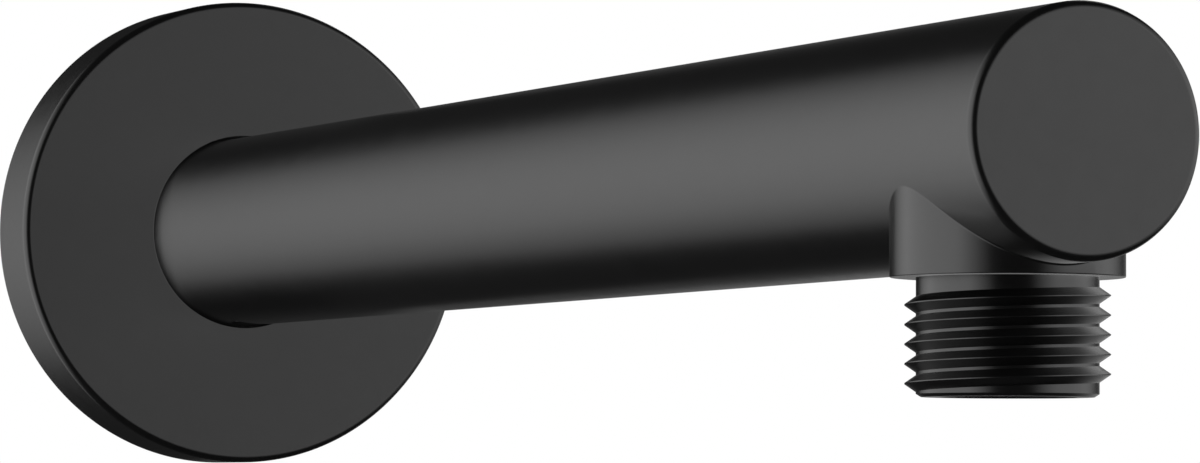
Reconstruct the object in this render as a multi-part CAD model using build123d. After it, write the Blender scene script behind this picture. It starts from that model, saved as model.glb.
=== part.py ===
"""Shower arm with a round rosette, a hidden wall nipple and a downward half-inch outlet.

Millimetres. X runs from the wall along the arm's axis, Z is up, and the wall's face is X = 0.
"""

import os

from build123d import *

# Arm: a round barrel with a closed end and a short boss under it
REACH = 240.0
END_BEYOND_OUTLET = 17.0
ARM_DIAMETER = 26.0
END_FILLET = 0.85
REAR_CHAMFER = 0.5
BOSS_INSET = 1.0
BOSS_BELOW_BARREL = 1.0
BOSS_EDGE_CHAMFER = 0.15

# Half-inch parallel pipe thread, drawn plain at its major diameter
PIPE_MAJOR_DIAMETER = 20.955
PIPE_ROOT_DIAMETER = 18.631
PIPE_FLANK_RUN = 0.6
PIPE_END_CHAMFER = 1.2

# Outlet stub, counted down from the boss
OUTLET_NECK_LENGTH = 1.1
OUTLET_STUB_LENGTH = 12.15
OUTLET_BORE_DIAMETER = 13.0
OUTLET_BORE_CHAMFER = 0.6

# Waterway cored through the barrel
WATERWAY_DIAMETER = 16.0
WATERWAY_PAST_OUTLET = 7.0
WATERWAY_END_TAPER = 3.0

# Wall nipple: thread into the wall, flange against it, spigot into the arm
WALL_THREAD_LENGTH = 15.0
WALL_RELIEF_WIDTH = 3.0
FLANGE_DIAMETER = 24.0
FLANGE_THICKNESS = 4.0
FLANGE_CHAMFER = 0.5
SOCKET_WALL = 2.9
SPIGOT_CLEARANCE = 0.1
SPIGOT_LENGTH = 30.0
SPIGOT_CHAMFER = 1.0
NIPPLE_BORE_DIAMETER = 12.0
KEY_ACROSS_FLATS = 12.0
KEY_DEPTH = 8.0
ARM_TO_FLANGE_GAP = 0.3
SPIGOT_END_ROOM = 2.0
SOCKET_LEAD_IN = 0.8

# Two sealing rings on the spigot
SPIGOT_RING_SECTION = 1.5
SPIGOT_RING_PLACES = {"rear_spigot_ring": 20.0, "front_spigot_ring": 25.0}
RING_GROOVE_SIDE_ROOM = 0.25
RING_SQUEEZE_GAP = 0.05

# Grub screw from below, into a groove round the spigot
SCREW_PLACE = 15.5
SCREW_DIAMETER = 6.0
SCREW_LENGTH = 4.0
SCREW_POINT_DIAMETER = 3.0
SCREW_HEX_ACROSS_FLATS = 3.0
SCREW_HEX_DEPTH = 2.2
SCREW_EDGE_CHAMFER = 0.4
SCREW_THREAD_CLEARANCE = 0.05
SCREW_MOUTH_DIAMETER = 7.6
SCREW_MOUTH_DEPTH = 0.8
SCREW_SEAT_GAP = 0.05
LOCK_GROOVE_DEPTH = 1.5

# Rosette: an open-backed cover with a collar round the arm
ROSETTE_DIAMETER = 64.0
ROSETTE_DEPTH = 11.5
ROSETTE_FRONT_WALL = 2.5
ROSETTE_RIM_WALL = 3.5
ROSETTE_EDGE_CHAMFER = 0.6
ROSETTE_BACK_CHAMFER = 0.3
ROSETTE_HOLE_CLEARANCE = 0.3
COLLAR_WALL = 3.7
COLLAR_LENGTH = 6.5

# Ring in the collar that grips the arm
GRIP_RING_SECTION = 2.0
GRIP_RING_FROM_FRONT = 4.6
GRIP_GROOVE_SIDE_ROOM = 0.2

# Flat ring between the rosette and the wall
WALL_SEAL_THICKNESS = 2.0
WALL_SEAL_WIDTH = 1.8
WALL_SEAL_RIM = 1.5
WALL_SEAL_CLEARANCE = 0.1

# Places that follow from the sizes above
ARM_RADIUS = ARM_DIAMETER / 2
ARM_REAR = FLANGE_THICKNESS + ARM_TO_FLANGE_GAP
ARM_FRONT = REACH + END_BEYOND_OUTLET
BOSS_RADIUS = ARM_RADIUS - BOSS_INSET
BOSS_DROP = ARM_RADIUS + BOSS_BELOW_BARREL
SOCKET_RADIUS = ARM_RADIUS - SOCKET_WALL
SPIGOT_RADIUS = SOCKET_RADIUS - SPIGOT_CLEARANCE
SPIGOT_FRONT = FLANGE_THICKNESS + SPIGOT_LENGTH
SOCKET_FRONT = SPIGOT_FRONT + SPIGOT_END_ROOM
PIPE_MAJOR_RADIUS = PIPE_MAJOR_DIAMETER / 2
PIPE_ROOT_RADIUS = PIPE_ROOT_DIAMETER / 2
SPIGOT_RING_RADIUS = SOCKET_RADIUS - RING_SQUEEZE_GAP - SPIGOT_RING_SECTION / 2
SCREW_RADIUS = SCREW_DIAMETER / 2
SCREW_POINT_RADIUS = SCREW_POINT_DIAMETER / 2
LOCK_GROOVE_RADIUS = SPIGOT_RADIUS - LOCK_GROOVE_DEPTH
SCREW_TIP_HEIGHT = LOCK_GROOVE_RADIUS + SCREW_SEAT_GAP
ROSETTE_RADIUS = ROSETTE_DIAMETER / 2
COLLAR_RADIUS = ARM_RADIUS + ROSETTE_HOLE_CLEARANCE
GRIP_RING_PLACE = ROSETTE_DEPTH - GRIP_RING_FROM_FRONT
GRIP_RING_RADIUS = ARM_RADIUS + RING_SQUEEZE_GAP + GRIP_RING_SECTION / 2


def turned(outline):
    """Turns an outline of (place along X, radius) points about the arm's axis."""
    return revolve(make_face(Polyline(*outline, close=True)), Axis.X)


def turned_down(outline):
    """Turns an outline of (place below the arm's axis, radius) points about the outlet's axis."""
    return Pos(REACH, 0, 0) * Rot(0, 90, 0) * turned(outline)


def rod(diameter, start, end):
    """A plain round bar about the arm's axis, from one place along X to another."""
    return turned([(start, 0), (start, diameter / 2), (end, diameter / 2), (end, 0)])


def ring(place, radius, section):
    """A rubber ring of square section about the arm's axis, at its squeezed size."""
    half = section / 2
    return turned(
        [
            (place - half, radius - half),
            (place - half, radius + half),
            (place + half, radius + half),
            (place + half, radius - half),
        ]
    )


def groove_outline(place, floor_radius, top_radius, half_width):
    """The four corners of a square groove, in order along X."""
    return [
        (place - half_width, top_radius),
        (place - half_width, floor_radius),
        (place + half_width, floor_radius),
        (place + half_width, top_radius),
    ]


def barrel():
    """The arm's round body with its closed, rounded end."""
    body = rod(ARM_DIAMETER, ARM_REAR, ARM_FRONT)
    rims = body.edges().filter_by(GeomType.CIRCLE).sort_by(Axis.X)
    body = fillet(rims[-1], END_FILLET)
    rear_rim = body.edges().filter_by(GeomType.CIRCLE).sort_by(Axis.X)[0]
    return chamfer(rear_rim, REAR_CHAMFER)


def boss():
    """The round boss under the end of the barrel, with its lower edge broken."""
    body = turned_down([(0, 0), (0, BOSS_RADIUS), (BOSS_DROP, BOSS_RADIUS), (BOSS_DROP, 0)])
    lower_rim = body.edges().filter_by(GeomType.CIRCLE).sort_by(Axis.Z)[0]
    return chamfer(lower_rim, BOSS_EDGE_CHAMFER)


def outlet_stub():
    """The male thread below the boss: a neck, the plain major diameter and an end chamfer."""
    neck_end = BOSS_DROP + OUTLET_NECK_LENGTH
    stub_end = BOSS_DROP + OUTLET_STUB_LENGTH
    return turned_down(
        [
            (0, 0),
            (0, PIPE_ROOT_RADIUS),
            (neck_end, PIPE_ROOT_RADIUS),
            (neck_end + PIPE_FLANK_RUN, PIPE_MAJOR_RADIUS),
            (stub_end - PIPE_END_CHAMFER, PIPE_MAJOR_RADIUS),
            (stub_end, PIPE_MAJOR_RADIUS - PIPE_END_CHAMFER),
            (stub_end, 0),
        ]
    )


def spigot_socket():
    """The bore at the arm's rear that slides over the wall nipple, with its lead-in."""
    return turned(
        [
            (ARM_REAR, 0),
            (ARM_REAR, SOCKET_RADIUS + SOCKET_LEAD_IN),
            (ARM_REAR + SOCKET_LEAD_IN, SOCKET_RADIUS),
            (SOCKET_FRONT, SOCKET_RADIUS),
            (SOCKET_FRONT, 0),
        ]
    )


def waterway():
    """The cored passage from the spigot's socket to a tapered end just past the outlet."""
    radius = WATERWAY_DIAMETER / 2
    end = REACH + WATERWAY_PAST_OUTLET
    return turned(
        [
            (SOCKET_FRONT, 0),
            (SOCKET_FRONT, radius),
            (end, radius),
            (end + WATERWAY_END_TAPER, radius - WATERWAY_END_TAPER),
            (end + WATERWAY_END_TAPER, 0),
        ]
    )


def outlet_bore():
    """The bore that brings the water down through the boss and out of the stub."""
    radius = OUTLET_BORE_DIAMETER / 2
    end = BOSS_DROP + OUTLET_STUB_LENGTH
    return turned_down(
        [
            (0, 0),
            (0, radius),
            (end - OUTLET_BORE_CHAMFER, radius),
            (end, radius + OUTLET_BORE_CHAMFER),
            (end, 0),
        ]
    )


def screw_hole():
    """The tapped hole up through the barrel's lower wall, with a countersunk mouth."""
    radius = SCREW_RADIUS + SCREW_THREAD_CLEARANCE
    mouth_radius = SCREW_MOUTH_DIAMETER / 2
    mouth_top = ARM_RADIUS - SCREW_MOUTH_DEPTH
    outline = [
        (LOCK_GROOVE_RADIUS, 0),
        (LOCK_GROOVE_RADIUS, radius),
        (mouth_top, radius),
        (ARM_RADIUS, mouth_radius),
        (ARM_RADIUS, 0),
    ]
    return Pos(SCREW_PLACE, 0, 0) * Rot(0, 90, 0) * turned(outline)


def arm():
    """The whole arm: one brass body with the boss, the outlet thread and the waterway."""
    body = barrel() + boss() + outlet_stub()
    return body - spigot_socket() - waterway() - outlet_bore() - screw_hole()


def wall_nipple():
    """The turned nipple that is screwed into the wall and carries the arm on its spigot."""
    bore_radius = NIPPLE_BORE_DIAMETER / 2
    flange_radius = FLANGE_DIAMETER / 2
    lock_half_width = SCREW_POINT_RADIUS + SCREW_SEAT_GAP
    ring_half_width = SPIGOT_RING_SECTION / 2 + RING_GROOVE_SIDE_ROOM
    ring_floor = SPIGOT_RING_RADIUS - SPIGOT_RING_SECTION / 2 - RING_SQUEEZE_GAP
    ring_grooves = []
    for place in SPIGOT_RING_PLACES.values():
        ring_grooves += groove_outline(place, ring_floor, SPIGOT_RADIUS, ring_half_width)
    outline = [
        (-WALL_THREAD_LENGTH, bore_radius),
        (-WALL_THREAD_LENGTH, PIPE_MAJOR_RADIUS - PIPE_END_CHAMFER),
        (PIPE_END_CHAMFER - WALL_THREAD_LENGTH, PIPE_MAJOR_RADIUS),
        (-WALL_RELIEF_WIDTH, PIPE_MAJOR_RADIUS),
        (PIPE_FLANK_RUN - WALL_RELIEF_WIDTH, PIPE_ROOT_RADIUS),
        (0, PIPE_ROOT_RADIUS),
        (0, flange_radius),
        (FLANGE_THICKNESS - FLANGE_CHAMFER, flange_radius),
        (FLANGE_THICKNESS, flange_radius - FLANGE_CHAMFER),
        (FLANGE_THICKNESS, SPIGOT_RADIUS),
        *groove_outline(SCREW_PLACE, LOCK_GROOVE_RADIUS, SPIGOT_RADIUS, lock_half_width),
        *ring_grooves,
        (SPIGOT_FRONT - SPIGOT_CHAMFER, SPIGOT_RADIUS),
        (SPIGOT_FRONT, SPIGOT_RADIUS - SPIGOT_CHAMFER),
        (SPIGOT_FRONT, bore_radius),
    ]
    hexagon = RegularPolygon(KEY_ACROSS_FLATS / 2, 6, major_radius=False)
    key = extrude(Plane.YZ.offset(SPIGOT_FRONT - KEY_DEPTH) * hexagon, KEY_DEPTH)
    return turned(outline) - key


def spigot_ring(place):
    """One sealing ring between the spigot and the arm's socket."""
    return ring(place, SPIGOT_RING_RADIUS, SPIGOT_RING_SECTION)


def grub_screw():
    """The dog-point screw that locks the arm on the nipple, with its hexagon socket below."""
    end = SCREW_TIP_HEIGHT + SCREW_LENGTH
    body = turned(
        [
            (SCREW_TIP_HEIGHT, 0),
            (SCREW_TIP_HEIGHT, SCREW_POINT_RADIUS),
            (SOCKET_RADIUS, SCREW_POINT_RADIUS),
            (SOCKET_RADIUS, SCREW_RADIUS),
            (end - SCREW_EDGE_CHAMFER, SCREW_RADIUS),
            (end, SCREW_RADIUS - SCREW_EDGE_CHAMFER),
            (end, 0),
        ]
    )
    hexagon = RegularPolygon(SCREW_HEX_ACROSS_FLATS / 2, 6, major_radius=False)
    socket = extrude(Plane.YZ.offset(end - SCREW_HEX_DEPTH) * hexagon, SCREW_HEX_DEPTH)
    return Pos(SCREW_PLACE, 0, 0) * Rot(0, 90, 0) * (body - socket)


def rosette():
    """The round cover: front wall, rim with a rebate for the seal, and a grooved collar."""
    rim_inside = ROSETTE_RADIUS - ROSETTE_RIM_WALL
    rebate_radius = ROSETTE_RADIUS - WALL_SEAL_RIM
    wall_back = ROSETTE_DEPTH - ROSETTE_FRONT_WALL
    collar_back = ROSETTE_DEPTH - COLLAR_LENGTH
    collar_outside = COLLAR_RADIUS + COLLAR_WALL
    groove_floor = GRIP_RING_RADIUS + GRIP_RING_SECTION / 2 + RING_SQUEEZE_GAP
    groove_half_width = GRIP_RING_SECTION / 2 + GRIP_GROOVE_SIDE_ROOM
    outline = [
        (0, rebate_radius),
        (0, ROSETTE_RADIUS - ROSETTE_BACK_CHAMFER),
        (ROSETTE_BACK_CHAMFER, ROSETTE_RADIUS),
        (ROSETTE_DEPTH - ROSETTE_EDGE_CHAMFER, ROSETTE_RADIUS),
        (ROSETTE_DEPTH, ROSETTE_RADIUS - ROSETTE_EDGE_CHAMFER),
        (ROSETTE_DEPTH, COLLAR_RADIUS),
        *reversed(groove_outline(GRIP_RING_PLACE, groove_floor, COLLAR_RADIUS, groove_half_width)),
        (collar_back, COLLAR_RADIUS),
        (collar_back, collar_outside),
        (wall_back, collar_outside),
        (wall_back, rim_inside),
        (WALL_SEAL_THICKNESS, rim_inside),
        (WALL_SEAL_THICKNESS, rebate_radius),
    ]
    return turned(outline)


def grip_ring():
    """The ring in the collar's groove that holds the rosette on the arm."""
    return ring(GRIP_RING_PLACE, GRIP_RING_RADIUS, GRIP_RING_SECTION)


def wall_seal():
    """The flat ring in the rim's rebate that keeps splashes off the wall's hole."""
    outside = ROSETTE_RADIUS - WALL_SEAL_RIM - WALL_SEAL_CLEARANCE
    inside = outside - WALL_SEAL_WIDTH
    return turned(
        [
            (0, inside),
            (0, outside),
            (WALL_SEAL_THICKNESS, outside),
            (WALL_SEAL_THICKNESS, inside),
        ]
    )


def pieces():
    """Every separate piece by its name."""
    named = {
        "arm": arm(),
        "wall_nipple": wall_nipple(),
        "grub_screw": grub_screw(),
        "rosette": rosette(),
        "rosette_grip_ring": grip_ring(),
        "rosette_wall_seal": wall_seal(),
    }
    for name, place in SPIGOT_RING_PLACES.items():
        named[name] = spigot_ring(place)
    return named


def main():
    os.makedirs("parts", exist_ok=True)
    for name, shape in pieces().items():
        export_step(shape, f"parts/{name}.step")


main()
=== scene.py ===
"""Looks of the shower arm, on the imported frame: round barrel, rosette, boss and outlet thread.

Sizes are millimetres until a mesh is made. X runs from the wall along the arm, Z is up.
"""

import math

import bmesh
import bpy
from mathutils import Matrix, Vector


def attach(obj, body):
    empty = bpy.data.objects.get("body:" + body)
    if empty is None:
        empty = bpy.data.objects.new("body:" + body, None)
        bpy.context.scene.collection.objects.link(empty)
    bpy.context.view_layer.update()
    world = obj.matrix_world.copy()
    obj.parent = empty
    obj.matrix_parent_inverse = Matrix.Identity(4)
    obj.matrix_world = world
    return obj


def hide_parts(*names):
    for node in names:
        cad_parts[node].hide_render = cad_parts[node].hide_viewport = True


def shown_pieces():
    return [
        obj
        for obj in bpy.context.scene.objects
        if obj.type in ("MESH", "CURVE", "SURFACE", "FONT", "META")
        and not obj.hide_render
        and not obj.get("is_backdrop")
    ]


MM = 0.001

# Arm
ARM_REAR = 4.3
ARM_FRONT = 257.0
ARM_RADIUS = 13.0
END_FILLET = 0.85
REAR_CHAMFER = 0.5
REACH = 240.0
BOSS_RADIUS = 12.0
BOSS_DROP = 14.0
BOSS_EDGE_ROUND = 0.12
SADDLE_FILLET = 0.25
SOCKET_RADIUS = 10.1
SOCKET_FRONT = 36.0
SOCKET_LEAD_IN = 0.8
WATERWAY_RADIUS = 8.0
WATERWAY_END = 247.0
WATERWAY_TAPER = 3.0

# Half-inch pipe thread, with its ridges as far apart as they look in the photograph
THREAD_MAJOR_RADIUS = 10.4775
THREAD_ROOT_RADIUS = 9.3155
THREAD_PITCH = 2.0
THREAD_CREST_FLAT = 0.1
THREAD_FLANK = 0.8
THREAD_FADE = 0.7

# Outlet stub, as depths below the arm's axis
STUB_END = 26.15
STUB_THREAD_TOP = 14.9
STUB_THREAD_BOTTOM = 25.8
STUB_FIRST_RIDGE = 15.05
STUB_LAST_RIDGE = 25.6
STUB_CREST_PHASE = 16.65
STUB_END_CHAMFER = (0.32, 0.5)
BORE_RADIUS = 6.5
BORE_CHAMFER = 0.6

# Wall nipple
FLANGE_RADIUS = 12.0
FLANGE_THICKNESS = 4.0
FLANGE_CHAMFER = 0.5
SPIGOT_RADIUS = 10.0
SPIGOT_FRONT = 34.0
SPIGOT_CHAMFER = 1.0
NIPPLE_BORE_RADIUS = 6.0
NIPPLE_KEY_ACROSS_FLATS = 12.0
NIPPLE_KEY_DEPTH = 8.0
WALL_THREAD_LENGTH = 15.0
WALL_THREAD_RELIEF = 2.8
WALL_THREAD_PLAIN_END = 0.5
WALL_END_CHAMFER = 0.2
LOCK_GROOVE = (13.95, 17.05, 8.5)
RING_GROOVES = ((19.0, 21.0, 8.45), (24.0, 26.0, 8.45))

# Grub screw and its hole, as depths below the arm's axis
SCREW_PLACE = 15.5
SCREW_RADIUS = 3.0
SCREW_TIP = 8.55
SCREW_POINT_RADIUS = 1.5
SCREW_POINT_CHAMFER = 0.15
SCREW_SHOULDER_CHAMFER = 0.2
SCREW_END = 12.55
SCREW_EDGE_CHAMFER = 0.4
SCREW_KEY_ACROSS_FLATS = 3.0
SCREW_KEY_DEPTH = 2.2
SCREW_KEY_FLOOR_STEP = 0.1
SCREW_HOLE_RADIUS = 3.05
SCREW_MOUTH_RADIUS = 3.8
SCREW_MOUTH_DEPTH = 0.8

# Rosette
ROSETTE_RADIUS = 32.0
ROSETTE_DEPTH = 11.5
ROSETTE_EDGE_ROUND = 0.9
ROSETTE_BACK_CHAMFER = 0.3
ROSETTE_HOLE_RADIUS = 13.3
ROSETTE_HOLE_ROUND = 0.15
ROSETTE_WALL_BACK = 9.0
ROSETTE_RIM_INSIDE = 28.5
ROSETTE_REBATE_DEPTH = 2.0
ROSETTE_REBATE_RADIUS = 30.5
COLLAR_BACK = 5.0
COLLAR_OUTSIDE = 17.0
COLLAR_GROOVE = (5.7, 8.1, 15.1)

# Grip ring, pressed on the barrel
GRIP_RING = (5.9, 7.9, 12.97, 15.05)
GRIP_RING_ROUND = 0.6

# How finely the round pieces are divided
BOSS_COLUMNS = 96
SCREW_COLUMNS = 32
SCREW_TURNED_COLUMNS = 96
FAR_COLUMNS = 112
TURNED_COLUMNS = 288
ARC_STEPS = 8
SMALL_ARC_STEPS = 5
TINY_ARC_STEPS = 3
SHARP_ANGLE = math.radians(30)
MERGE_DISTANCE = 0.0002

# Where the barrel's mesh passes from the screw's hole to plain rings and to the outlet
SCREW_ZONE_END = 30.0
PLAIN_START = 30.5
PLAIN_STEP = 47.8
PLAIN_RINGS = 4
OUTLET_ZONE_START = 222.0

# The part of a noise's range that is spread over a colour or roughness
NOISE_LOW = 0.3
NOISE_HIGH = 0.7

# Lamps, in metres and degrees
LAMP_DISTANCE = 4.0
LAMP_MIDDLE = (0.12, 0, 0)
SOFTBOX_LAYERS = 4

# Strength of the white world
WORLD_SEEN = 1.0
WORLD_REFLECTED = 0.02
WORLD_DIFFUSE = 0.35

# Floor, in metres
FLOOR_HALF_WIDTH = 3.0
FLOOR_HEIGHT = -2.2
FLOOR_COLOUR = (0.86, 0.86, 0.86, 1)

# Camera, fitted to the photograph, for a picture of 1200 by 463 pixels
CAMERA_PLACE = (747.018, -264.624, -35.807)
CAMERA_HEADING = 66.5933
CAMERA_PITCH = 2.6453
CAMERA_ROLL = 0.2
CAMERA_FOCAL_PIXELS = 5617.94
PICTURE_WIDTH = 1200
SENSOR_WIDTH = 36.0


class Shell:
    """Gathers the points and faces of one piece."""

    def __init__(self):
        self.points = []
        self.faces = []

    def ring(self, points):
        start = len(self.points)
        self.points += points
        return list(range(start, len(self.points)))

    def band(self, first, second):
        """Quads between two closed rings with the same number of points."""
        count = len(first)
        for i in range(count):
            j = (i + 1) % count
            self.faces.append((first[i], first[j], second[j], second[i]))

    def bands(self, rings):
        for first, second in zip(rings, rings[1:]):
            self.band(first, second)

    def zipper(self, first, first_angles, second, second_angles):
        """Triangles between two closed rings whose points stand at different angles."""
        whole = 2 * math.pi
        start = first_angles[0]
        order = sorted(range(len(second)), key=lambda i: (second_angles[i] - start) % whole)
        second = [second[i] for i in order]
        a_angles = [*first_angles, start + whole]
        b_angles = [start + (second_angles[i] - start) % whole for i in order]
        b_angles.append(b_angles[0] + whole)
        a = b = 0
        while a < len(first) or b < len(second):
            step_a = b == len(second) or (a < len(first) and a_angles[a + 1] <= b_angles[b + 1])
            here_a = first[a % len(first)]
            here_b = second[b % len(second)]
            if step_a:
                a += 1
                self.faces.append((here_a, first[a % len(first)], here_b))
            else:
                b += 1
                self.faces.append((here_a, second[b % len(second)], here_b))

    def cap(self, ring):
        self.faces.append(tuple(ring))


def about_arm(along, radius, angle):
    """A point at a place along the arm's axis; the angle starts at the underside."""
    return (along, radius * math.sin(angle), -radius * math.cos(angle))


def about_outlet(depth, radius, angle):
    """A point at a depth below the arm's axis, round the outlet's axis."""
    return (REACH + radius * math.cos(angle), radius * math.sin(angle), -depth)


def about_screw(depth, radius, angle):
    """A point at a depth below the arm's axis, round the grub screw's axis."""
    return (SCREW_PLACE + radius * math.cos(angle), radius * math.sin(angle), -depth)


def behind_wall(depth, radius, angle):
    """A point at a depth behind the wall's face, round the arm's axis."""
    return (-depth, radius * math.cos(angle), radius * math.sin(angle))


def turn(count, start=-math.pi / 2):
    """Evenly spaced angles of a full turn."""
    return [start + 2 * math.pi * i / count for i in range(count)]


def arc(along, radius, size, start, end, steps=ARC_STEPS):
    """Outline points of a rounded corner, from one angle to another in degrees; 90 points outwards."""
    points = []
    for i in range(steps + 1):
        angle = math.radians(start + (end - start) * i / steps)
        points.append((along + size * math.cos(angle), radius + size * math.sin(angle)))
    return points


def lathe(shell, outline, angles, place):
    """Rings for an outline of (along, radius) points; a radius may be a function of the angle."""
    rings = []
    for along, radius in outline:
        size = radius if callable(radius) else lambda angle, radius=radius: radius
        rings.append(shell.ring([place(along, size(angle), angle) for angle in angles]))
    shell.bands(rings)
    return rings


def hexagon(across_flats):
    """The radius of a hexagon's edge as a function of the angle."""

    def radius(angle):
        sector = math.pi / 3
        off_middle = (angle + math.pi / 2) % sector - sector / 2
        return across_flats / 2 / math.cos(off_middle)

    return radius


def groove(start, end, floor, top):
    return [(start, top), (start, floor), (end, floor), (end, top)]


def tube_with_hole(shell, start, end, radius, place, edge, count):
    """A tube about the arm's axis with a round hole below. edge gives the hole's rim for an angle.

    Returns the tube's first ring, its last ring, their angles and the hole's rim.
    """
    near = [edge(angle)[1] for angle in turn(2 * count)[: count + 1]]
    gap = 2 * math.pi - 2 * near[-1]
    far = [near[-1] + gap * i / FAR_COLUMNS for i in range(1, FAR_COLUMNS)]
    angles = near + far
    first = shell.ring([about_arm(start, radius, angle) for angle in angles])
    last = shell.ring([about_arm(end, radius, angle) for angle in angles])
    rim_points = [edge(angle) for angle in turn(2 * count)]
    rim = shell.ring([about_arm(place + along, radius, angle) for along, angle in rim_points])
    rear = [rim[-j % (2 * count)] for j in range(count + 1)]
    for j in range(count):
        shell.faces.append((first[j], first[j + 1], rear[j + 1], rear[j]))
        shell.faces.append((rim[j], rim[j + 1], last[j + 1], last[j]))
    middle = [rim[count], *shell.ring([about_arm(place, radius, angle) for angle in far]), rim[0]]
    for i in range(FAR_COLUMNS):
        here = count + i
        there = (here + 1) % len(angles)
        shell.faces.append((first[here], first[there], middle[i + 1], middle[i]))
        shell.faces.append((middle[i], middle[i + 1], last[there], last[here]))
    return first, last, angles, rim


def round_hole(hole_radius, tube_radius):
    """The rim of a straight round hole in a tube, as (along, angle) for an angle round the hole."""

    def edge(angle):
        across = hole_radius * math.sin(angle)
        return hole_radius * math.cos(angle), math.asin(across / tube_radius)

    return edge


def saddle_edge(angle):
    """Where the saddle fillet leaves the barrel."""
    reach = BOSS_RADIUS + SADDLE_FILLET
    across = reach * math.sin(angle)
    return reach * math.cos(angle), math.asin(across / (ARM_RADIUS + SADDLE_FILLET))


def mouth_edge(angle):
    """Where the countersunk mouth of the screw's hole meets the barrel."""
    slope = (SCREW_MOUTH_RADIUS - SCREW_HOLE_RADIUS) / SCREW_MOUTH_DEPTH
    radius = SCREW_MOUTH_RADIUS
    for _ in range(12):
        depth = math.sqrt(ARM_RADIUS**2 - (radius * math.sin(angle)) ** 2)
        radius = SCREW_HOLE_RADIUS + slope * (depth - ARM_RADIUS + SCREW_MOUTH_DEPTH)
    return radius * math.cos(angle), math.asin(radius * math.sin(angle) / ARM_RADIUS)


def saddle_point(angle, share):
    """A point of the rolling-ball fillet between barrel (share 0) and boss (share 1)."""
    reach = BOSS_RADIUS + SADDLE_FILLET
    outer = ARM_RADIUS + SADDLE_FILLET
    x = reach * math.cos(angle)
    y = reach * math.sin(angle)
    z = -math.sqrt(outer**2 - y**2)
    to_barrel = Vector((0, -y / outer, -z / outer))
    to_boss = Vector((-math.cos(angle), -math.sin(angle), 0))
    return tuple(Vector((REACH + x, y, z)) + SADDLE_FILLET * to_barrel.slerp(to_boss, share))


def ease(value):
    value = min(max(value, 0.0), 1.0)
    return value * value * (3 - 2 * value)


def thread(shell, top, bottom, first_ridge, last_ridge, phase, angles, place):
    """A right-handed pipe thread from one depth to another; its ridge rises and fades at its ends.

    Returns the rings at the top and at the bottom.
    """
    height = THREAD_MAJOR_RADIUS - THREAD_ROOT_RADIUS
    crest = THREAD_CREST_FLAT / 2
    foot = crest + THREAD_FLANK
    profile = [(-foot, 0.0), (-crest, height), (crest, height), (foot, 0.0)]
    start = phase - THREAD_PITCH * math.ceil((phase - top + foot) / THREAD_PITCH)
    ridges = math.ceil((bottom + foot - start) / THREAD_PITCH) + 2
    columns = []
    for n, angle in enumerate(angles):
        column = []
        for k in range(ridges):
            middle = start + THREAD_PITCH * (k - n / len(angles))
            rise = ease((middle - first_ridge) / THREAD_FADE) * ease((last_ridge - middle) / THREAD_FADE)
            for offset, size in profile:
                depth = min(max(middle + offset, top), bottom)
                column.append(place(depth, THREAD_ROOT_RADIUS + rise * size, angle))
        columns.append(shell.ring(column))
    rows = len(columns[0])
    step = len(profile)
    for n in range(len(angles) - 1):
        here = columns[n]
        there = columns[n + 1]
        for row in range(rows - 1):
            shell.faces.append((here[row], there[row], there[row + 1], here[row + 1]))
    here = columns[-1]
    there = columns[0]
    for row in range(step, rows - 1):
        shell.faces.append((here[row], there[row - step], there[row - step + 1], here[row + 1]))
    return [column[0] for column in columns], [column[-1] for column in columns]


def new_piece(name, shell, material, node):
    """Makes the mesh object, smooth but sharp at its edges, and puts it in the node's place."""
    mesh = bpy.data.meshes.new(name)
    mesh.from_pydata([Vector(point) * MM for point in shell.points], [], shell.faces)
    build = bmesh.new()
    build.from_mesh(mesh)
    bmesh.ops.remove_doubles(build, verts=build.verts, dist=MERGE_DISTANCE * MM)
    bmesh.ops.recalc_face_normals(build, faces=build.faces)
    for face in build.faces:
        face.smooth = True
    build.to_mesh(mesh)
    build.free()
    mesh.set_sharp_from_angle(angle=SHARP_ANGLE)
    mesh.materials.append(material)
    piece = bpy.data.objects.new(name, mesh)
    bpy.context.scene.collection.objects.link(piece)
    weighted = piece.modifiers.new("even_shading", "WEIGHTED_NORMAL")
    weighted.keep_sharp = True
    weighted.weight = 100
    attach(piece, "root")
    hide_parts(node)
    return piece


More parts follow.
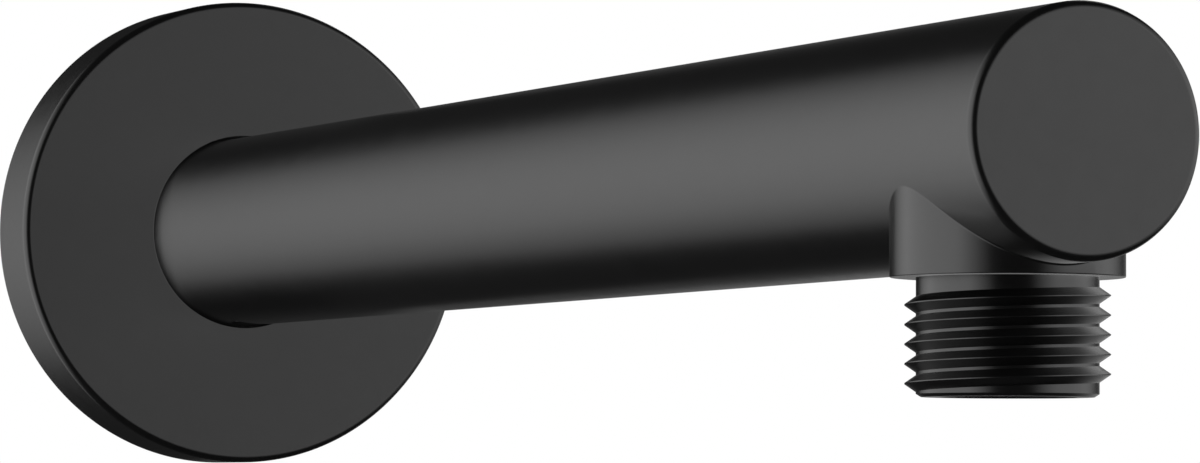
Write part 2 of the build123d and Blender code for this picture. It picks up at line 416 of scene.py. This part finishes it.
def arm_shell():
    shell = Shell()

    # Outside of the barrel, with the screw's hole below its rear and the boss's hole below its front
    a_first, a_last, a_angles, mouth_rim = tube_with_hole(
        shell, ARM_REAR + REAR_CHAMFER, SCREW_ZONE_END, ARM_RADIUS, SCREW_PLACE, mouth_edge, SCREW_COLUMNS
    )
    rear_radius = ARM_RADIUS - REAR_CHAMFER
    rear_rim = shell.ring([about_arm(ARM_REAR, rear_radius, angle) for angle in a_angles])
    shell.band(rear_rim, a_first)
    fillet_start = ARM_FRONT - END_FILLET
    b_first, b_last, b_angles, saddle_rim = tube_with_hole(
        shell, OUTLET_ZONE_START, fillet_start, ARM_RADIUS, REACH, saddle_edge, BOSS_COLUMNS
    )
    stretch = [(PLAIN_START + PLAIN_STEP * i, ARM_RADIUS) for i in range(PLAIN_RINGS)]
    plain = lathe(shell, stretch, b_angles, about_arm)
    shell.zipper(a_last, a_angles, plain[0], b_angles)
    shell.band(plain[-1], b_first)
    end_outline = arc(fillet_start, ARM_RADIUS - END_FILLET, END_FILLET, 90, 0)
    end_rings = lathe(shell, end_outline[1:], b_angles, about_arm)
    shell.band(b_last, end_rings[0])
    shell.cap(end_rings[-1])

    # Socket and waterway
    socket_edge = round_hole(SCREW_HOLE_RADIUS, SOCKET_RADIUS)
    c_first, c_last, c_angles, hole_rim = tube_with_hole(
        shell, ARM_REAR + SOCKET_LEAD_IN, SOCKET_FRONT, SOCKET_RADIUS, SCREW_PLACE, socket_edge, SCREW_COLUMNS
    )
    lead_radius = SOCKET_RADIUS + SOCKET_LEAD_IN
    lead_rim = shell.ring([about_arm(ARM_REAR, lead_radius, angle) for angle in c_angles])
    shell.bands([rear_rim, lead_rim, c_first])
    water_edge = round_hole(BORE_RADIUS, WATERWAY_RADIUS)
    d_first, d_last, d_angles, bore_rim = tube_with_hole(
        shell, OUTLET_ZONE_START, WATERWAY_END, WATERWAY_RADIUS, REACH, water_edge, BOSS_COLUMNS
    )
    step_rim = shell.ring([about_arm(SOCKET_FRONT, WATERWAY_RADIUS, angle) for angle in d_angles])
    shell.zipper(c_last, c_angles, step_rim, d_angles)
    shell.band(step_rim, d_first)
    taper_radius = WATERWAY_RADIUS - WATERWAY_TAPER
    taper_rim = shell.ring(
        [about_arm(WATERWAY_END + WATERWAY_TAPER, taper_radius, angle) for angle in d_angles]
    )
    shell.band(d_last, taper_rim)
    shell.cap(taper_rim)

    # Wall of the screw's hole
    hole_angles = turn(2 * SCREW_COLUMNS)
    countersink = shell.ring(
        [about_screw(ARM_RADIUS - SCREW_MOUTH_DEPTH, SCREW_HOLE_RADIUS, angle) for angle in hole_angles]
    )
    shell.bands([mouth_rim, countersink, hole_rim])

    # Saddle fillet, boss, outlet thread and bore
    angles = turn(2 * BOSS_COLUMNS)
    rings = [saddle_rim]
    for i in range(1, ARC_STEPS + 1):
        rings.append(shell.ring([saddle_point(angle, i / ARC_STEPS) for angle in angles]))
    boss_outline = arc(
        BOSS_DROP - BOSS_EDGE_ROUND,
        BOSS_RADIUS - BOSS_EDGE_ROUND,
        BOSS_EDGE_ROUND,
        90,
        0,
        steps=SMALL_ARC_STEPS,
    )
    boss_rings = lathe(shell, [*boss_outline, (BOSS_DROP, THREAD_ROOT_RADIUS)], angles, about_outlet)
    thread_top, thread_bottom = thread(
        shell,
        STUB_THREAD_TOP,
        STUB_THREAD_BOTTOM,
        STUB_FIRST_RIDGE,
        STUB_LAST_RIDGE,
        STUB_CREST_PHASE,
        angles,
        about_outlet,
    )
    end_outline = [
        (STUB_END - STUB_END_CHAMFER[0], THREAD_ROOT_RADIUS),
        (STUB_END, THREAD_ROOT_RADIUS - STUB_END_CHAMFER[1]),
        (STUB_END, BORE_RADIUS + BORE_CHAMFER),
        (STUB_END - BORE_CHAMFER, BORE_RADIUS),
    ]
    stub_rings = lathe(shell, end_outline, angles, about_outlet)
    shell.bands([*rings, boss_rings[0]])
    shell.band(boss_rings[-1], thread_top)
    shell.band(thread_bottom, stub_rings[0])
    shell.band(stub_rings[-1], bore_rim)
    return shell


def nipple_shell():
    shell = Shell()
    angles = turn(2 * BOSS_COLUMNS)
    thread_top, thread_bottom = thread(
        shell,
        WALL_THREAD_RELIEF,
        WALL_THREAD_LENGTH - WALL_THREAD_PLAIN_END,
        WALL_THREAD_RELIEF + THREAD_FADE,
        WALL_THREAD_LENGTH - 2 * WALL_THREAD_PLAIN_END,
        WALL_THREAD_RELIEF,
        angles,
        behind_wall,
    )
    key = hexagon(NIPPLE_KEY_ACROSS_FLATS)
    key_floor = SPIGOT_FRONT - NIPPLE_KEY_DEPTH
    grooves = groove(*LOCK_GROOVE, SPIGOT_RADIUS)
    for ring_groove in RING_GROOVES:
        grooves += groove(*ring_groove, SPIGOT_RADIUS)
    outline = [
        (0, THREAD_ROOT_RADIUS),
        (0, FLANGE_RADIUS),
        (FLANGE_THICKNESS - FLANGE_CHAMFER, FLANGE_RADIUS),
        (FLANGE_THICKNESS, FLANGE_RADIUS - FLANGE_CHAMFER),
        (FLANGE_THICKNESS, SPIGOT_RADIUS),
        *grooves,
        (SPIGOT_FRONT - SPIGOT_CHAMFER, SPIGOT_RADIUS),
        (SPIGOT_FRONT, SPIGOT_RADIUS - SPIGOT_CHAMFER),
        (SPIGOT_FRONT, key),
        (key_floor, key),
        (key_floor, NIPPLE_BORE_RADIUS),
        (-WALL_THREAD_LENGTH, NIPPLE_BORE_RADIUS),
        (-WALL_THREAD_LENGTH, THREAD_ROOT_RADIUS - WALL_END_CHAMFER),
        (WALL_END_CHAMFER - WALL_THREAD_LENGTH, THREAD_ROOT_RADIUS),
    ]
    rings = lathe(shell, [(-along, radius) for along, radius in outline], angles, behind_wall)
    shell.band(thread_top, rings[0])
    shell.band(rings[-1], thread_bottom)
    return shell


def screw_shell():
    shell = Shell()
    key = hexagon(SCREW_KEY_ACROSS_FLATS)
    outline = [
        (SCREW_TIP, SCREW_POINT_RADIUS - SCREW_POINT_CHAMFER),
        (SCREW_TIP + SCREW_POINT_CHAMFER, SCREW_POINT_RADIUS),
        (SOCKET_RADIUS, SCREW_POINT_RADIUS),
        (SOCKET_RADIUS, SCREW_RADIUS - SCREW_SHOULDER_CHAMFER),
        (SOCKET_RADIUS + SCREW_SHOULDER_CHAMFER, SCREW_RADIUS),
        (SCREW_END - SCREW_EDGE_CHAMFER, SCREW_RADIUS),
        (SCREW_END, SCREW_RADIUS - SCREW_EDGE_CHAMFER),
        (SCREW_END, key),
        (SCREW_END - SCREW_KEY_DEPTH, key),
        (SCREW_END - SCREW_KEY_DEPTH, SCREW_KEY_ACROSS_FLATS / 2 - SCREW_KEY_FLOOR_STEP),
    ]
    rings = lathe(shell, outline, turn(SCREW_TURNED_COLUMNS), about_screw)
    shell.cap(rings[0])
    shell.cap(rings[-1])
    return shell


def rosette_shell():
    shell = Shell()
    front_edge = arc(
        ROSETTE_DEPTH - ROSETTE_EDGE_ROUND, ROSETTE_RADIUS - ROSETTE_EDGE_ROUND, ROSETTE_EDGE_ROUND, 90, 0
    )
    hole_edge = arc(
        ROSETTE_DEPTH - ROSETTE_HOLE_ROUND,
        ROSETTE_HOLE_RADIUS + ROSETTE_HOLE_ROUND,
        ROSETTE_HOLE_ROUND,
        0,
        -90,
        steps=TINY_ARC_STEPS,
    )
    start, end, floor = COLLAR_GROOVE
    outline = [
        (0, ROSETTE_REBATE_RADIUS),
        (0, ROSETTE_RADIUS - ROSETTE_BACK_CHAMFER),
        (ROSETTE_BACK_CHAMFER, ROSETTE_RADIUS),
        *front_edge,
        *hole_edge,
        *groove(end, start, floor, ROSETTE_HOLE_RADIUS),
        (COLLAR_BACK, ROSETTE_HOLE_RADIUS),
        (COLLAR_BACK, COLLAR_OUTSIDE),
        (ROSETTE_WALL_BACK, COLLAR_OUTSIDE),
        (ROSETTE_WALL_BACK, ROSETTE_RIM_INSIDE),
        (ROSETTE_REBATE_DEPTH, ROSETTE_RIM_INSIDE),
        (ROSETTE_REBATE_DEPTH, ROSETTE_REBATE_RADIUS),
    ]
    rings = lathe(shell, outline, turn(TURNED_COLUMNS), about_arm)
    shell.band(rings[-1], rings[0])
    return shell


def grip_ring_shell():
    shell = Shell()
    start, end, inside, outside = GRIP_RING
    size = GRIP_RING_ROUND
    outline = [
        *arc(end - size, outside - size, size, 0, 90),
        *arc(start + size, outside - size, size, 90, 180),
        *arc(start + size, inside + size, size, 180, 270),
        *arc(end - size, inside + size, size, 270, 360),
    ]
    rings = lathe(shell, outline, turn(TURNED_COLUMNS), about_arm)
    shell.band(rings[-1], rings[0])
    return shell


class Look:
    """A procedural material: a principled shader with textures in the object's own space."""

    def __init__(self, name):
        self.material = bpy.data.materials.new(name)
        self.material.use_nodes = True
        self.nodes = self.material.node_tree.nodes
        self.links = self.material.node_tree.links
        self.shader = self.nodes["Principled BSDF"]
        self.place = self.nodes.new("ShaderNodeTexCoord").outputs["Object"]

    def set(self, **values):
        for name, value in values.items():
            self.shader.inputs[name.replace("_", " ")].default_value = value

    def noise(self, scale, detail=2.0, stretch=(1, 1, 1)):
        mapping = self.nodes.new("ShaderNodeMapping")
        mapping.inputs["Scale"].default_value = stretch
        self.links.new(self.place, mapping.inputs["Vector"])
        noise = self.nodes.new("ShaderNodeTexNoise")
        noise.inputs["Scale"].default_value = scale
        noise.inputs["Detail"].default_value = detail
        self.links.new(mapping.outputs["Vector"], noise.inputs["Vector"])
        return noise.outputs["Fac"]

    def span(self, value, low, high, target):
        """Maps a noise onto a range and feeds it to a shader socket."""
        spread = self.nodes.new("ShaderNodeMapRange")
        spread.inputs["From Min"].default_value = NOISE_LOW
        spread.inputs["From Max"].default_value = NOISE_HIGH
        spread.inputs["To Min"].default_value = low
        spread.inputs["To Max"].default_value = high
        self.links.new(value, spread.inputs["Value"])
        self.links.new(spread.outputs["Result"], self.shader.inputs[target])

    def colours(self, value, first, second):
        """Blends two colours by a noise."""
        ramp = self.nodes.new("ShaderNodeValToRGB")
        ramp.color_ramp.elements[0].position = NOISE_LOW
        ramp.color_ramp.elements[0].color = (*first, 1)
        ramp.color_ramp.elements[1].position = NOISE_HIGH
        ramp.color_ramp.elements[1].color = (*second, 1)
        self.links.new(value, ramp.inputs["Fac"])
        self.links.new(ramp.outputs["Color"], self.shader.inputs["Base Color"])

    def bump(self, value, strength, distance):
        bump = self.nodes.new("ShaderNodeBump")
        bump.inputs["Strength"].default_value = strength
        bump.inputs["Distance"].default_value = distance * MM
        self.links.new(value, bump.inputs["Height"])
        self.links.new(bump.outputs["Normal"], self.shader.inputs["Normal"])


def black_coat():
    look = Look("black_coat")
    look.set(Metallic=0.0, IOR=1.5, Specular_IOR_Level=1.0)
    look.colours(look.noise(140, 3), (0.0026, 0.0026, 0.0027), (0.0038, 0.0037, 0.0037))
    look.span(look.noise(420, 4), 0.235, 0.265, "Roughness")
    look.bump(look.noise(5200, 2), 0.05, 0.01)
    return look.material


def bare_brass():
    look = Look("bare_brass")
    look.set(Metallic=1.0)
    rings = look.noise(60, 2, stretch=(60, 1, 1))
    look.colours(rings, (0.56, 0.41, 0.18), (0.66, 0.50, 0.25))
    look.span(rings, 0.24, 0.36, "Roughness")
    look.bump(rings, 0.08, 0.02)
    return look.material


def screw_steel():
    look = Look("screw_steel")
    look.set(Metallic=1.0)
    grain = look.noise(900, 3)
    look.colours(grain, (0.36, 0.36, 0.37), (0.46, 0.46, 0.47))
    look.span(grain, 0.3, 0.42, "Roughness")
    look.bump(grain, 0.05, 0.01)
    return look.material


def seal_rubber():
    look = Look("seal_rubber")
    look.set(Metallic=0.0, IOR=1.45)
    grain = look.noise(1600, 4)
    look.colours(grain, (0.018, 0.018, 0.018), (0.028, 0.028, 0.028))
    look.span(grain, 0.62, 0.78, "Roughness")
    look.bump(grain, 0.15, 0.03)
    return look.material


def direction(azimuth, elevation):
    """The direction from the object to a camera or lamp at an azimuth and elevation in degrees."""
    a = math.radians(azimuth)
    e = math.radians(elevation)
    return Vector((math.sin(a) * math.cos(e), -math.cos(a) * math.cos(e), math.sin(e)))


def lamp_panel(name, start, end, low, high, radiance):
    """A rectangular lamp that covers a range of azimuths and of elevations, in degrees."""
    data = bpy.data.lights.new(name, "AREA")
    data.shape = "RECTANGLE"
    data.size = 2 * LAMP_DISTANCE * math.tan(math.radians(end - start) / 2)
    data.size_y = 2 * LAMP_DISTANCE * math.tan(math.radians(high - low) / 2)
    data.energy = radiance * math.pi * data.size * data.size_y
    lamp = bpy.data.objects.new(name, data)
    towards = direction((start + end) / 2, (low + high) / 2)
    lamp.location = Vector(LAMP_MIDDLE) + LAMP_DISTANCE * towards
    lamp.rotation_euler = towards.to_track_quat("Z", "Y").to_euler()
    lamp.visible_camera = False
    bpy.context.scene.collection.objects.link(lamp)
    return lamp


def shine_past(lamp, *pieces):
    """Keeps these pieces from blocking the lamp, as if it stood a little to their side."""
    group = bpy.data.collections.new(f"{lamp.name}_unblocked")
    for piece in pieces:
        group.objects.link(piece)
    for entry in group.collection_objects:
        entry.light_linking.link_state = "EXCLUDE"
    lamp.light_linking.blocker_collection = group


def softbox(name, azimuths, elevations, radiance, soft, unblocked):
    """Nested panels, so that the light fades over a range of degrees at its edges."""
    start, end = azimuths
    low, high = elevations
    for layer in range(SOFTBOX_LAYERS):
        inset = soft * (layer / (SOFTBOX_LAYERS - 1) - 0.5)
        panel = lamp_panel(
            f"{name}_{layer + 1}",
            start + inset,
            end - inset,
            low + inset,
            high - inset,
            radiance / SOFTBOX_LAYERS,
        )
        shine_past(panel, *unblocked)


def surroundings():
    """A white background, seen through glass too, dim for reflections and plain soft light for the rest."""
    world = bpy.data.worlds.new("studio")
    bpy.context.scene.world = world
    world.use_nodes = True
    nodes = world.node_tree.nodes
    links = world.node_tree.links
    background = nodes["Background"]
    background.inputs["Color"].default_value = (1, 1, 1, 1)
    rays = nodes.new("ShaderNodeLightPath")
    dim = nodes.new("ShaderNodeMix")
    dim.data_type = "FLOAT"
    dim.inputs["A"].default_value = WORLD_DIFFUSE
    dim.inputs["B"].default_value = WORLD_REFLECTED
    links.new(rays.outputs["Is Glossy Ray"], dim.inputs["Factor"])
    direct = nodes.new("ShaderNodeMath")
    direct.operation = "MAXIMUM"
    links.new(rays.outputs["Is Camera Ray"], direct.inputs[0])
    links.new(rays.outputs["Is Transmission Ray"], direct.inputs[1])
    seen = nodes.new("ShaderNodeMix")
    seen.data_type = "FLOAT"
    seen.inputs["B"].default_value = WORLD_SEEN
    links.new(direct.outputs["Value"], seen.inputs["Factor"])
    links.new(dim.outputs["Result"], seen.inputs["A"])
    links.new(seen.outputs["Result"], background.inputs["Strength"])


def floor():
    """A pale floor, as far below the arm as a wall mounting leaves it."""
    material = bpy.data.materials.new("pale_floor")
    material.use_nodes = True
    shader = material.node_tree.nodes["Principled BSDF"]
    shader.inputs["Base Color"].default_value = FLOOR_COLOUR
    shader.inputs["Roughness"].default_value = 0.9
    mesh = bpy.data.meshes.new("floor")
    sides = (-FLOOR_HALF_WIDTH, FLOOR_HALF_WIDTH)
    corners = [(x, y, FLOOR_HEIGHT) for x in sides for y in sides]
    mesh.from_pydata(corners, [], [(0, 2, 3, 1)])
    mesh.materials.append(material)
    plane = bpy.data.objects.new("floor", mesh)
    bpy.context.scene.collection.objects.link(plane)
    plane.visible_glossy = False
    plane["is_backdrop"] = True
    return plane


def camera():
    data = bpy.data.cameras.new("camera")
    data.sensor_width = SENSOR_WIDTH
    data.lens = CAMERA_FOCAL_PIXELS * SENSOR_WIDTH / PICTURE_WIDTH
    data.clip_start = 0.01
    data.clip_end = 100
    view = bpy.data.objects.new("camera", data)
    heading = Matrix.Rotation(math.radians(CAMERA_HEADING), 4, "Z")
    pitch = Matrix.Rotation(math.radians(90 + CAMERA_PITCH), 4, "X")
    roll = Matrix.Rotation(math.radians(CAMERA_ROLL), 4, "Z")
    view.matrix_world = Matrix.Translation(Vector(CAMERA_PLACE) * MM) @ heading @ pitch @ roll
    bpy.context.scene.collection.objects.link(view)
    bpy.context.scene.camera = view


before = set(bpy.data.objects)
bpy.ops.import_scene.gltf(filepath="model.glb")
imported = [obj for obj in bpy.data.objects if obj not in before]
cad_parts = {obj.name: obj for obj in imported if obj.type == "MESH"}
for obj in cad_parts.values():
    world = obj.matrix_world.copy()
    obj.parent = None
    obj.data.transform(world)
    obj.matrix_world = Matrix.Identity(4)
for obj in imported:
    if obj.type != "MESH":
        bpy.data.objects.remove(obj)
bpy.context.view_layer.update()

coat = black_coat()
brass = bare_brass()
steel = screw_steel()
rubber = seal_rubber()

arm = new_piece("arm_body", arm_shell(), coat, "arm")
rosette = new_piece("rosette_cover", rosette_shell(), coat, "rosette")
new_piece("nipple_body", nipple_shell(), brass, "wall_nipple")
new_piece("screw_body", screw_shell(), steel, "grub_screw")
new_piece("grip_ring", grip_ring_shell(), rubber, "rosette_grip_ring")
for name in ("rear_spigot_ring", "front_spigot_ring", "rosette_wall_seal"):
    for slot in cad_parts[name].material_slots:
        slot.material = rubber

ground = floor()
wall_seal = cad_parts["rosette_wall_seal"]
beside_rosette = [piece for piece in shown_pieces() if piece != rosette]
softbox("left_softbox", (-69, 31), (-39, 39), 1.2, 24, [ground, rosette, wall_seal])
softbox("right_softbox", (110, 190), (-13, 26), 1.1, 26, [ground, *beside_rosette])
softbox("upper_back_light", (220, 230), (5, 50), 0.65, 2, [ground, arm])
softbox("lower_back_light", (207, 238), (-32, -4), 0.29, 16, [ground, arm])
softbox("back_light", (226, 246), (-12, 11), 0.36, 12, [ground, arm])
surroundings()
camera()
bpy.context.scene.view_settings.view_transform = "Standard"
